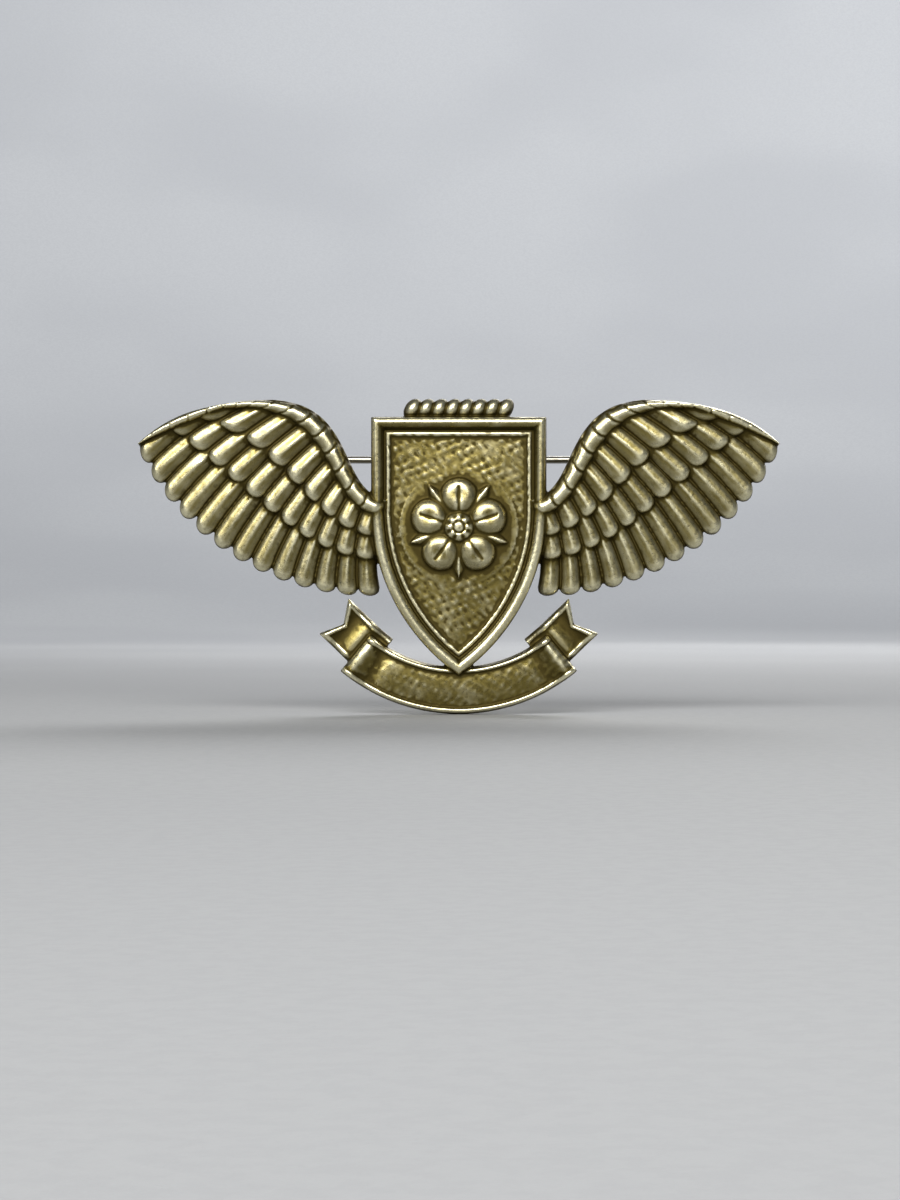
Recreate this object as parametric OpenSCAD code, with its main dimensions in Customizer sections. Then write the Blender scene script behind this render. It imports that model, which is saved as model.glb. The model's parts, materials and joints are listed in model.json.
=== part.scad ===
// Winged cap badge: a cast brass plate with a brooch pin on its back.
// Millimetres, +Z up as worn, the face looks to -Y. The back plane of the plate is y = 0,
// and the origin lies on that plane, midway between the hinge and the catch.

/* [Plate] */
// Width across the wing tips
span = 70; // [50:0.5:100]
// Height from the foot of the ribbon to the top of the rope bar
rise = 34.25; // [24:0.25:50]
// Thickness of the plate at the long feathers
plate_t = 1.4; // [1:0.1:2.5]
// Step up from one row of feathers to the next
row_step = 0.5; // [0.2:0.05:1]
// Thickness of the wing's front rib at its crest
rib_t = 3.4; // [2.6:0.1:5]
// Width of the front rib at the shoulder
rib_w = 2.5; // [1.5:0.1:4]

/* [Feathers] */
// Long feathers in each wing
long_feathers = 13; // [7:1:17]
// Middle feathers in each wing
mid_feathers = 11; // [6:1:15]
// Short feathers in each wing
short_feathers = 9; // [5:1:13]
// Width of the groove between two feathers
groove_w = 0.26; // [0.15:0.01:0.6]
// Depth of the groove between two feathers
groove_d = 0.3; // [0.1:0.05:0.6]
// How far a feather bows outward along its length
bow = 0.9; // [0:0.1:2]

/* [Shield and ribbon] */
// Thickness at the sunken field of the shield
field_t = 2.1; // [1.4:0.1:3]
// Thickness at the raised border of the shield
border_t = 3; // [2:0.1:4]
// Width of the raised border
border_w = 1.3; // [0.8:0.1:2.5]
// Thickness at the crown of the rosette
rosette_t = 3.5; // [2.6:0.1:5]
// Thickness of the ribbon
ribbon_t = 2.7; // [1.8:0.1:4]
// Height of the ribbon's band
ribbon_h = 5.1; // [3:0.1:7]
// Relief of the blank cartouche on the back
cartouche_t = 0.25; // [0.1:0.05:0.5]

/* [Pin] */
// Distance from the hinge rivet to the middle of the catch
pin_centres = 32; // [24:0.5:44]
// Height of the pin's axis over the back of the plate
pin_h = 5; // [4:0.1:7]
// Diameter of the pin wire
wire_d = 0.8; // [0.6:0.05:1.2]
// Diameter of the pin where it lies in the catch
tip_d = 0.7; // [0.5:0.05:1]
// Length of the ground point
point_l = 2.6; // [1:0.1:4]
// Diameter of the eye at the hinge end
eye_d = 2.7; // [2.2:0.1:3.6]
// Width of the eye along the rivet
eye_w = 1; // [0.8:0.05:1.5]

/* [Hinge] */
// Diameter of the rivet
rivet_d = 0.9; // [0.6:0.05:1.2]
// Diameter of the rivet's heads
head_d = 1.7; // [1.2:0.1:2.4]
// Height of each rivet head
head_t = 0.4; // [0.2:0.05:0.8]
// Thickness of each hinge ear
ear_t = 0.6; // [0.4:0.05:1]
// Thickness of a soldered foot
foot_t = 0.5; // [0.3:0.05:0.8]
// Width of a soldered foot along the badge's height
foot_w = 3.8; // [3:0.1:5]
// Height of the hinge's stop wall over the pin's axis
stop_rise = 1.5; // [1.1:0.05:2]

/* [Catch] */
// Outside diameter of the roller
roller_d = 2.6; // [2.2:0.1:3.6]
// Bore of the roller
roller_bore = 1.3; // [1:0.05:1.8]
// Width of the slot the pin drops through
slot_w = 1.2; // [1:0.05:1.6]
// Length of the catch ring along the pin
ring_l = 2.6; // [1.8:0.1:4]
// Wall of the catch ring
ring_wall = 0.5; // [0.35:0.05:0.8]
// Diameter of the roller's flanges
flange_d = 3.3; // [2.8:0.1:4.2]
// Thickness of a roller flange
flange_t = 0.4; // [0.3:0.05:0.8]
// Reach of the thumb tab from the roller's axis
tab_reach = 3.4; // [2.6:0.1:4.5]
// Width of the thumb tab
tab_w = 1.3; // [0.8:0.1:1.8]

/* [Fits] */
// Radial clearance of the eye on its rivet
eye_fit = 0.05; // [0.01:0.01:0.1]
// Radial clearance of the roller in its ring
roller_fit = 0.05; // [0.01:0.01:0.1]
// End play of the eye and of the roller on each side
end_play = 0.15; // [0.05:0.01:0.3]

/* [Hidden] */
$fn = 48;
sink = 0.4;
kx = span / 70;
kz = rise / 34.25;
ks = min(kx, kz);
top_z = 6.35 * kz;
foot_z = top_z - rise;
shield_w = 19 * kx;
shield_top = 4.3 * kz;
shield_turn = -5.5 * kz;
shield_point = -23.6 * kz;
ribbon_r = 20 * ks;
ribbon_half = 40;
hinge_x = -pin_centres / 2;
catch_x = pin_centres / 2;
rivet_r = rivet_d / 2;
eye_bore_r = rivet_r + eye_fit;
ear_z = eye_w / 2 + end_play;
ear_r = eye_d / 2 - 0.1;
wall_x = eye_d / 2 + end_play;
ring_in = roller_d / 2 + roller_fit;
ring_out = ring_in + ring_wall;
roller_half = ring_l / 2 + end_play + flange_t;
tab_t = 0.6;
tab_rest = -70;
roller_turn = 110;
lug_t = 0.5;

// A cubic curve through its two end points, steered by the two between.
function cubic(p, t) =
    pow(1 - t, 3) * p[0] + 3 * t * pow(1 - t, 2) * p[1]
    + 3 * t * t * (1 - t) * p[2] + pow(t, 3) * p[3];

// The line the feathers grow from, and the line their tips reach, for the wing at +X.
function root_line(u) = cubic([[7.6 * kx, -4.8 * kz], [14.4 * kx, -3.4 * kz],
                               [9.6 * kx, 9 * kz], [26 * kx, 5.5 * kz]], u);
function tip_line(u) = cubic([[8.4 * kx, -15 * kz], [19 * kx, -15.6 * kz],
                              [30.5 * kx, -9.5 * kz], [35 * kx, 1.2 * kz]], u);

// A point of the wing: u runs from the shield to the tip, v down the length of a feather.
function along(u) = tip_line(u) - root_line(u);
function across(u) = [-along(u)[1], along(u)[0]] / norm(along(u));
function wing_at(u, v) = root_line(u) + along(u) * v + across(u) * bow * 4 * v * (1 - v);

// The scalloped edge of one row: n feathers that end between v and v + tip.
function scallops(n, v, tip) = [
    for (i = [0 : n - 1], s = [0 : 5])
        let (w = s / 6) wing_at(1 - (i + w) / n, v + tip * sqrt(1 - pow(2 * w - 1, 2)))
];

// Outline of one row from the root line to its scallops.
function row_outline(n, v, tip) = concat(
    [for (i = [0 : 19]) wing_at(i / 20, 0)],
    [for (i = [0 : 7]) wing_at(1, v * i / 8)],
    scallops(n, v, tip),
    [for (i = [0 : 3]) wing_at(0, v * (1 - i / 4))]
);

// One groove between feathers, from v0 to v1.
function groove_side(u, v0, v1, side) = [
    for (i = [0 : 4])
        let (v = v0 + (v1 - v0) * i / 4) wing_at(u, v) + across(u) * side * groove_w / 2
];
function turned(list) = [for (i = [len(list) - 1 : -1 : 0]) list[i]];
function groove_outline(u, v0, v1) =
    concat(groove_side(u, v0, v1, 1), turned(groove_side(u, v0, v1, -1)));

// Outline of the front rib: along the shoulder, then down the outermost feather to the tip.
function rib_v(u, w) = w / norm(along(u));
function rib_outline(w, du) = concat(
    [for (i = [0 : 20]) wing_at(i / 20, 0)],
    [for (i = [1 : 10]) wing_at(1, i / 10)],
    [for (i = [9 : -1 : 3]) wing_at(1 - du * (1 - i / 10), i / 10)],
    [for (i = [18 : -1 : 0]) wing_at(i / 20, rib_v(i / 20, w))]
);

// Raises a flat outline from depth a to depth b in front of the back plane.
module relief(a, b) {
    translate([0, -a, 0])
        rotate([90, 0, 0])
            linear_extrude(b - a)
                children();
}

// One row of feathers with its grooves, standing from depth a to depth b.
module feather_row(n, v, tip, from_v, a, b) {
    difference() {
        relief(a, b)
            polygon(row_outline(n, v, tip));
        for (i = [1 : n - 1])
            relief(b - groove_d, b + 0.2)
                polygon(groove_outline(i / n, from_v, v + 0.01));
    }
}

// The wing at +X.
module wing() {
    feather_row(long_feathers, 0.915, 0.085, 0.5, 0, plate_t);
    feather_row(mid_feathers, 0.57, 0.07, 0.3, plate_t - groove_d - sink, plate_t + row_step);
    feather_row(short_feathers, 0.34, 0.06, 0.08, plate_t - sink, plate_t + 2 * row_step);
    relief(plate_t - sink, rib_t - 0.4)
        polygon(rib_outline(rib_w, 1 / long_feathers));
    relief(plate_t, rib_t)
        polygon(rib_outline(rib_w * 0.6, 0.6 / long_feathers));
}

// A block of the shield's outline, drawn in by a margin, from depth a to depth b.
module shield_block(margin, a, b) {
    half = shield_w / 2;
    drop = shield_turn - shield_point;
    arc_r = (drop * drop + half * half) / (2 * half);
    translate([-half + margin, -b, shield_turn - 0.01])
        cube([shield_w - 2 * margin, b - a, shield_top - shield_turn - margin + 0.01]);
    intersection() {
        translate([half - arc_r, -a, shield_turn])
            rotate([90, 0, 0])
                cylinder(h = b - a, r = arc_r - margin, $fn = 96);
        translate([arc_r - half, -a, shield_turn])
            rotate([90, 0, 0])
                cylinder(h = b - a, r = arc_r - margin, $fn = 96);
        translate([-half, -b, shield_point - 1])
            cube([shield_w, b - a, drop + 1]);
    }
}

// Five round petals and a crown on the field of the shield.
module rosette() {
    translate([0, 0, -7.6 * kz]) {
        for (i = [0 : 4])
            rotate([0, 72 * i, 0])
                translate([0, -field_t + sink, 3.25 * ks])
                    rotate([90, 0, 0])
                        cylinder(h = rosette_t - field_t - 0.3 + sink, r = 2.1 * ks);
        translate([0, -field_t + sink, 0])
            rotate([90, 0, 0])
                cylinder(h = rosette_t - field_t + sink, r = 1.75 * ks);
    }
}

// A twisted rope bar along the top of the shield.
module rope_bar() {
    lay = 0.9 * kx;
    bar = top_z - shield_top;
    pitch = 2 * kx;
    relief(0, field_t)
        polygon([[-3 * pitch, shield_top - 0.6], [3 * pitch, shield_top - 0.6],
                 [3 * pitch, top_z - 0.3], [-3 * pitch, top_z - 0.3]]);
    for (i = [-3 : 2])
        translate([i * pitch, 0, shield_top])
            relief(field_t - sink, border_t)
                polygon([[0.1, 0], [pitch - 0.15, 0], [pitch - 0.15 + lay * (1 - abs(i + 0.5) / 3), bar],
                         [0.1 + lay * (1 - abs(i + 0.5) / 3), bar]]);
}

// The blank ribbon: a curved band with a forked tail tucked behind each end.
module ribbon() {
    translate([0, 0, foot_z + ribbon_r]) {
        rotate([90, 0, 0])
            rotate([0, 0, 270 - ribbon_half])
                rotate_extrude(angle = 2 * ribbon_half, $fn = 180)
                    translate([ribbon_r - ribbon_h * ks, 0])
                        square([ribbon_h * ks, ribbon_t]);
        for (side = [-1, 1])
            rotate([0, -side * ribbon_half, 0])
                translate([0, 0, -ribbon_r])
                    relief(0, ribbon_t - 1)
                        polygon([[-side * 2.2 * ks, 1.3 * ks], [side * 4.4 * ks, 1.6 * ks],
                                 [side * 3 * ks, 4.1 * ks], [side * 4.4 * ks, 6.6 * ks],
                                 [-side * 2.2 * ks, 6.3 * ks]]);
    }
}

// The cast face plate: wings, shield, rosette, rope bar and ribbon in one piece of brass.
module badge_plate() {
    color([0.72, 0.6, 0.28]) {
        wing();
        mirror([1, 0, 0])
            wing();
        difference() {
            shield_block(0, 0, border_t);
            shield_block(border_w, field_t, border_t + 0.5);
        }
        rosette();
        rope_bar();
        ribbon();
        translate([-4.5 * ks, -0.3, -12.5 * kz])
            cube([9 * ks, 0.3 + cartouche_t, 4 * ks]);
    }
}

// The hinge: a soldered foot, two ears and the wall that stops the open pin.
module hinge_base() {
    ear_out = ear_z + ear_t;
    color([0.78, 0.66, 0.36])
        translate([hinge_x, 0, 0])
            difference() {
                union() {
                    translate([-wall_x - ear_t - 0.3, 0, -foot_w / 2])
                        cube([wall_x + ear_t + ear_r + 1.1, foot_t, foot_w]);
                    for (side = [-1, 1])
                        translate([0, 0, side > 0 ? ear_z : -ear_out]) {
                            translate([-wall_x - ear_t / 2, foot_t - 0.2, 0])
                                cube([wall_x + ear_t / 2 + ear_r - 0.05, pin_h - foot_t + 0.2, ear_t]);
                            translate([-wall_x - ear_t / 2, pin_h - 0.1, 0])
                                cube([wall_x + ear_t / 2, ear_r - 0.1, ear_t]);
                            translate([0, pin_h, 0])
                                cylinder(h = ear_t, r = ear_r);
                        }
                    translate([-wall_x - ear_t, foot_t - 0.2, -ear_out])
                        cube([ear_t, pin_h + stop_rise - foot_t + 0.2, 2 * ear_out]);
                }
                translate([0, pin_h, -ear_out - 1])
                    cylinder(h = 2 * ear_out + 2, r = rivet_r);
            }
}

// The rivet the pin's eye turns on, spread into a low head over each ear.
module hinge_rivet() {
    ear_out = ear_z + ear_t;
    color([0.74, 0.64, 0.4])
        translate([hinge_x, pin_h, 0])
            rotate_extrude()
                polygon([[0, -ear_out - head_t], [head_d * 0.26, -ear_out - head_t],
                         [head_d * 0.42, -ear_out - head_t * 0.7], [head_d / 2, -ear_out],
                         [rivet_r, -ear_out], [rivet_r, ear_out],
                         [head_d / 2, ear_out], [head_d * 0.42, ear_out + head_t * 0.7],
                         [head_d * 0.26, ear_out + head_t], [0, ear_out + head_t]]);
}

// A low frame of solder round a foot, in two steps.
module solder_frame(x0, x1) {
    for (step = [[0.55, 0.14], [0.26, 0.32]])
        difference() {
            translate([x0 - step[0], 0, -foot_w / 2 - step[0]])
                cube([x1 - x0 + 2 * step[0], step[1], foot_w + 2 * step[0]]);
            translate([x0, -1, -foot_w / 2])
                cube([x1 - x0, 3, foot_w]);
        }
}

// Solder round the hinge foot.
module hinge_solder() {
    color([0.66, 0.65, 0.6])
        translate([hinge_x, 0, 0])
            solder_frame(-wall_x - ear_t - 0.3, ear_r + 0.8);
}

// The pin: one wire with a flattened eye at the hinge and a ground point.
module pin_stem() {
    shank_end = pin_centres - roller_half - 1.1;
    point_at = pin_centres + roller_half + 0.6;
    color([0.8, 0.7, 0.42])
        translate([hinge_x, pin_h, 0]) {
            difference() {
                translate([0, 0, -eye_w / 2])
                    cylinder(h = eye_w, r = eye_d / 2);
                translate([0, 0, -eye_w])
                    cylinder(h = 2 * eye_w, r = eye_bore_r);
            }
            rotate([0, 90, 0]) {
                translate([0, 0, eye_bore_r + 0.35])
                    cylinder(h = shank_end - eye_bore_r - 0.35, r = wire_d / 2);
                translate([0, 0, shank_end])
                    cylinder(h = 0.6, r1 = wire_d / 2, r2 = tip_d / 2);
                translate([0, 0, shank_end + 0.6])
                    cylinder(h = point_at - shank_end - 0.6, r = tip_d / 2);
                translate([0, 0, point_at])
                    cylinder(h = point_l, r1 = tip_d / 2, r2 = 0.06);
            }
        }
}

// The catch: a soldered foot, a neck and the open ring that carries the roller.
module catch_base() {
    color([0.78, 0.66, 0.36])
        translate([catch_x, 0, 0]) {
            translate([-ring_l / 2 - 0.5, 0, -foot_w / 2])
                cube([ring_l + 1, foot_t, foot_w]);
            translate([-ring_l / 2 + 0.25, foot_t - 0.2, -0.85])
                cube([ring_l - 0.5, pin_h - ring_in - 0.15 - foot_t + 0.2, 1.7]);
            difference() {
                translate([-ring_l / 2, pin_h, 0])
                    rotate([0, 90, 0])
                        cylinder(h = ring_l, r = ring_out);
                translate([-ring_l, pin_h, 0])
                    rotate([0, 90, 0])
                        cylinder(h = 2 * ring_l, r = ring_in);
                translate([-ring_l, pin_h, -slot_w / 2])
                    cube([2 * ring_l, ring_out + 1, slot_w]);
            }
            for (at = [tab_rest - 37, tab_rest + roller_turn + 37])
                translate([ring_l / 2 - 0.3, pin_h, 0])
                    rotate([at, 0, 0])
                        translate([0, flange_d / 2 + 0.1, -lug_t / 2])
                            cube([0.3 + end_play + flange_t + 0.2, ring_out - flange_d / 2 + 0.25, lug_t]);
        }
}

// The roller: a slotted sleeve with a flange at each end and a thumb tab, shown open.
module catch_roller() {
    color([0.8, 0.7, 0.42])
        translate([catch_x, pin_h, 0]) {
            difference() {
                union() {
                    translate([-roller_half, 0, 0])
                        rotate([0, 90, 0])
                            cylinder(h = 2 * roller_half, r = roller_d / 2);
                    for (at = [-roller_half, roller_half - flange_t])
                        translate([at, 0, 0])
                            rotate([0, 90, 0])
                                cylinder(h = flange_t, r = flange_d / 2);
                    rotate([tab_rest, 0, 0])
                        translate([roller_half - flange_t, roller_bore / 2 + 0.2, -tab_w / 2])
                            cube([tab_t, tab_reach - roller_bore / 2 - 0.2, tab_w]);
                }
                translate([-roller_half - 1, 0, 0])
                    rotate([0, 90, 0])
                        cylinder(h = 2 * roller_half + 2, r = roller_bore / 2);
                translate([-roller_half - 1, 0, -slot_w / 2])
                    cube([2 * roller_half + 2, flange_d, slot_w]);
            }
        }
}

// Solder round the catch foot.
module catch_solder() {
    color([0.66, 0.65, 0.6])
        translate([catch_x, 0, 0])
            solder_frame(-ring_l / 2 - 0.5, ring_l / 2 + 0.5);
}

badge_plate();
hinge_base();
hinge_rivet();
hinge_solder();
pin_stem();
catch_base();
catch_roller();
catch_solder();
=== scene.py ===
import json
import math

import bmesh
import bpy
import numpy as np
from mathutils import Matrix, Vector
from mathutils.kdtree import KDTree


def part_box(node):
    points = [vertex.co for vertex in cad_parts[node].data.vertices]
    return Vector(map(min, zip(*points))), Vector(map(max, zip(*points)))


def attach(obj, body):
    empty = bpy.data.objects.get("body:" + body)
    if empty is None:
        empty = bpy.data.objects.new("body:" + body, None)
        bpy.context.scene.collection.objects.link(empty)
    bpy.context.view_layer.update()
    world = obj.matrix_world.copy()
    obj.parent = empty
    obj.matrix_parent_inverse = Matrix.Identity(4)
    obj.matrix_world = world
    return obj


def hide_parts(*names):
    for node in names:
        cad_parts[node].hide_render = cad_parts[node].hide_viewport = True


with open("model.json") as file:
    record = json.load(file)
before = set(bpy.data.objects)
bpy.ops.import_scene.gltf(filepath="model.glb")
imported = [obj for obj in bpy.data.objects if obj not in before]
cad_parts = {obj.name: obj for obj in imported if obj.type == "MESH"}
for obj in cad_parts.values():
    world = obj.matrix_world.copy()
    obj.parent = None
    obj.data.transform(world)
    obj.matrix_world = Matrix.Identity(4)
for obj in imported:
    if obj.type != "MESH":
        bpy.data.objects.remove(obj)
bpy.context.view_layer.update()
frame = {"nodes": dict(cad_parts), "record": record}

# ---- Table, light and camera ----
# The badge stands on its ribbon on a sheet of plain pale paper, face to the camera. The paper curves
# up into a wall all the way round. A wide soft lamp hangs in front and above, a weaker one behind, a
# third lights the wall, and two windows fill in.

MM = 0.001
plate_low, plate_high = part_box("badge_plate")
face_middle = (plate_low + plate_high) / 2
camera_reach, frame_height, film = 0.3, 0.1293, 36
aim_x, aim_z = -0.95 * MM, face_middle.z - 4.75 * MM
room_grey = (0.42, 0.435, 0.46)
warm, warmer, cool = (1.0, 0.985, 0.95), (1.0, 0.985, 0.94), (0.98, 0.99, 1.0)

camera = bpy.data.objects.new("camera", bpy.data.cameras.new("camera"))
camera.data.sensor_fit = "VERTICAL"
camera.data.sensor_height = film
camera.data.lens = film * camera_reach / frame_height
camera.data.clip_start = 0.01
camera.location = (aim_x, plate_low.y - camera_reach, aim_z)
camera.rotation_euler = (math.radians(90), 0, 0)
bpy.context.scene.collection.objects.link(camera)
bpy.context.scene.camera = camera


def soft_lamp(name, place, target, size, watts, colour):
    """A square softbox at place that faces target."""
    lamp = bpy.data.lights.new(name, "AREA")
    lamp.shape = "RECTANGLE"
    lamp.size, lamp.size_y = size
    lamp.energy = watts
    lamp.color = colour
    stand = bpy.data.objects.new(name, lamp)
    stand.location = place
    stand.rotation_euler = (Vector(target) - Vector(place)).to_track_quat("-Z", "Y").to_euler()
    bpy.context.scene.collection.objects.link(stand)


window_spread = 34


def daylight(name, tilt, turn, strength, colour):
    """Even light from a wide window: tilt from straight down, turned about the vertical."""
    light = bpy.data.lights.new(name, "SUN")
    light.energy = strength
    light.angle = math.radians(window_spread)
    light.color = colour
    window = bpy.data.objects.new(name, light)
    window.rotation_euler = (math.radians(tilt), 0, math.radians(turn))
    bpy.context.scene.collection.objects.link(window)


badge_foot = (0, 0, -0.01)
soft_lamp("key_lamp", (-0.1, -0.42, 0.27), badge_foot, (0.5, 0.26), 2.8, warmer)
soft_lamp("back_lamp", (0.2, 0.42, 0.24), badge_foot, (0.4, 0.2), 1.4, warm)
soft_lamp("wall_lamp", (0.25, 0.45, 0.85), (0.15, 1.25, 0.55), (1.3, 0.3), 16.0, cool)
daylight("front_window", 66, -12, 1.1, cool)
daylight("rear_window", 66, 170, 1.3, (0.97, 0.985, 1.0))

room = bpy.data.worlds.new("room")
room.use_nodes = True
room.node_tree.nodes["Background"].inputs["Color"].default_value = (*room_grey, 1)
room.node_tree.nodes["Background"].inputs["Strength"].default_value = 0.25
bpy.context.scene.world = room
bpy.context.scene.view_settings.view_transform = "Standard"


class Paint:
    """Node building for one material: each call adds a node and hands back its output."""

    def __init__(self, name):
        self.material = bpy.data.materials.new(name)
        self.material.use_nodes = True
        self.tree = self.material.node_tree
        self.shader = self.tree.nodes["Principled BSDF"]
        place = self.tree.nodes.new("ShaderNodeTexCoord")
        self.place = place.outputs["Object"]

    def put(self, socket, value):
        if isinstance(value, bpy.types.NodeSocket):
            self.tree.links.new(value, socket)
        elif isinstance(value, tuple) and len(value) == 3 and socket.type == "RGBA":
            socket.default_value = (*value, 1)
        else:
            socket.default_value = value

    def noise(self, scale, detail=4.0, rough=0.55, stretch=(1, 1, 1), twist=0.0):
        turn = self.tree.nodes.new("ShaderNodeMapping")
        turn.inputs["Scale"].default_value = stretch
        self.tree.links.new(self.place, turn.inputs["Vector"])
        grain = self.tree.nodes.new("ShaderNodeTexNoise")
        grain.inputs["Scale"].default_value = scale
        grain.inputs["Detail"].default_value = detail
        grain.inputs["Roughness"].default_value = rough
        grain.inputs["Distortion"].default_value = twist
        self.tree.links.new(turn.outputs["Vector"], grain.inputs["Vector"])
        return grain.outputs["Fac"]

    def attribute(self, name):
        read = self.tree.nodes.new("ShaderNodeAttribute")
        read.attribute_name = name
        return read.outputs["Fac"]

    def ramp(self, value, low, high, to_low=0.0, to_high=1.0):
        spread = self.tree.nodes.new("ShaderNodeMapRange")
        spread.clamp = True
        spread.interpolation_type = "SMOOTHSTEP"
        limits = {"From Min": low, "From Max": high, "To Min": to_low, "To Max": to_high}
        for name, number in limits.items():
            spread.inputs[name].default_value = number
        self.put(spread.inputs["Value"], value)
        return spread.outputs["Result"]

    def add(self, a, b):
        total = self.tree.nodes.new("ShaderNodeMath")
        total.operation = "ADD"
        self.put(total.inputs[0], a)
        self.put(total.inputs[1], b)
        return total.outputs[0]

    def blend(self, share, a, b):
        mix = self.tree.nodes.new("ShaderNodeMix")
        mix.data_type = "RGBA"
        mix.clamp_factor = True
        self.put(mix.inputs[0], share)
        self.put(mix.inputs[6], a)
        self.put(mix.inputs[7], b)
        return mix.outputs[2]

    def bump(self, height, distance, strength=1.0, under=None):
        push = self.tree.nodes.new("ShaderNodeBump")
        push.inputs["Strength"].default_value = strength
        push.inputs["Distance"].default_value = distance
        self.put(push.inputs["Height"], height)
        if under is not None:
            self.tree.links.new(under, push.inputs["Normal"])
        return push.outputs["Normal"]

    def finish(self, **sockets):
        for name, value in sockets.items():
            self.put(self.shader.inputs[name.replace("_", " ").title()], value)
        return self.material


def mesh_piece(name, points, faces):
    """A mesh object from points in millimetres, with its normals turned outward."""
    mesh = bpy.data.meshes.new(name)
    mesh.from_pydata([tuple(p) for p in points], [], [tuple(f) for f in faces])
    form = bmesh.new()
    form.from_mesh(mesh)
    bmesh.ops.recalc_face_normals(form, faces=form.faces)
    bmesh.ops.scale(form, vec=(MM, MM, MM), verts=form.verts)
    form.to_mesh(mesh)
    form.free()
    mesh.polygons.foreach_set("use_smooth", [True] * len(mesh.polygons))
    piece = bpy.data.objects.new(name, mesh)
    bpy.context.scene.collection.objects.link(piece)
    return piece


def table_paint():
    paint = Paint("table_paper")
    fibre = paint.noise(900, 3, 0.6)
    cloud = paint.noise(6, 2, 0.5)
    tone = paint.blend(paint.ramp(cloud, 0.35, 0.65), (0.315, 0.322, 0.337), (0.345, 0.352, 0.365))
    flecked = paint.blend(paint.ramp(fibre, 0.4, 0.62, 0, 0.3), tone, (0.285, 0.292, 0.308))
    return paint.finish(base_color=flecked, roughness=0.9, normal=paint.bump(fibre, 0.0002, 0.3))


def paper_sweep():
    """One round sheet, flat under the badge and then curved up: radius and height of each ring."""
    floor_z, flat, curve, steps = plate_low.z / MM - 0.03, 560, 840, 96
    profile = [(60, 0), (300, 0), (flat, 0)]
    for a in (math.radians(6 * i) for i in range(1, 12)):
        profile.append((flat + curve * math.sin(a), curve - curve * math.cos(a)))
    points = [(0, 0, floor_z)]
    faces = []
    for ring, (r, z) in enumerate(profile):
        for i in range(steps):
            lean = 2 * math.pi * i / steps
            points.append((r * math.cos(lean), r * math.sin(lean), floor_z + z))
            here, after = 1 + ring * steps + i, 1 + ring * steps + (i + 1) % steps
            faces.append((0, here, after) if ring == 0 else (here - steps, here, after, after - steps))
    return mesh_piece("table", points, faces)


table = paper_sweep()
table.data.materials.append(table_paint())

# ---- Wings ----
# Two fans of feathers in three stepped rows under a thick front rib, cast with the shield as one
# piece of brass. Each feather is a low dome with a raised shaft. They are drawn for a plate 70 by
# 34.15 mm, and wide and tall stretch them to the real one.

wide = (plate_high.x - plate_low.x) / MM / 70
tall = (plate_high.z - plate_low.z) / MM / 34.15
plate_t, row_step, rib_t, thickest = 1.4, 0.5, 3.4, 3.46
under = -0.2     # how far each block reaches behind the back plane, which is cut flat later
clay_points, clay_faces = [], []


def cubic(a, b, c, d, t):
    t = np.asarray(t, float)[..., None]
    return (1 - t) ** 3 * a + 3 * t * (1 - t) ** 2 * b + 3 * t * t * (1 - t) * c + t ** 3 * d


root_points = np.array([(7.6, -4.8), (14.4, -3.4), (9.6, 9), (26, 5.5)]) * (wide, tall)
tip_points = np.array([(8.4, -15), (19, -15.6), (30.5, -9.5), (35, 1.2)]) * (wide, tall)


def root_line(u):
    return cubic(*root_points, u)


def tip_line(u):
    return cubic(*tip_points, u)


def wing_at(u, v, bow=0.9):
    """x and z of a point of the wing: u from the shield to the tip, v down a feather's length."""
    u, v = np.broadcast_arrays(np.asarray(u, float), np.asarray(v, float))
    along = tip_line(u) - root_line(u)
    length = np.linalg.norm(along, axis=-1, keepdims=True)
    across = np.stack([-along[..., 1], along[..., 0]], -1) / length
    return root_line(u) + along * v[..., None] + across * (bow * 4 * v * (1 - v))[..., None]


def block(x, z, front, back):
    """Points and faces of a closed block over a grid of x and z, between two depths."""
    rows, columns = x.shape
    number = np.arange(rows * columns).reshape(rows, columns)
    square = np.stack([number[:-1, :-1], number[1:, :-1], number[1:, 1:], number[:-1, 1:]], -1)
    square = square.reshape(-1, 4)
    rim = np.concatenate([number[0, :], number[1:, -1], number[-1, -2::-1], number[-2:0:-1, 0]])
    wall = np.stack([rim, np.roll(rim, -1), np.roll(rim, -1) + x.size, rim + x.size], -1)
    depths = (front, np.broadcast_to(back, x.shape))
    points = [np.stack([x, -depth, z], -1).reshape(-1, 3) for depth in depths]
    return np.concatenate(points), np.concatenate([square, square[:, ::-1] + x.size, wall])


def add_clay(x, z, front, back, sides=(1,)):
    """Adds a block of the casting, and its mirror image too for sides (1, -1)."""
    for side in sides:
        points, faces = block(side * x, z, front, back)
        clay_faces.append(faces + sum(len(p) for p in clay_points))
        clay_points.append(points)


def scallop(s):
    return np.sqrt(np.clip(1 - s * s, 0, 1))


def cast_skin(x, z):
    """The slight unevenness of an unpolished cast ground, in millimetres."""
    waves = ((4.7, 2.9), (-3.1, 5.3), (6.1, -1.7), (2.3, -6.7), (-7.3, -3.7), (5.9, 7.1))
    return 0.0075 * sum(np.sin(a * x + b * z + start + 0.7 * np.sin(0.8 * a * z))
                        for start, (a, b) in enumerate(waves))


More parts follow.
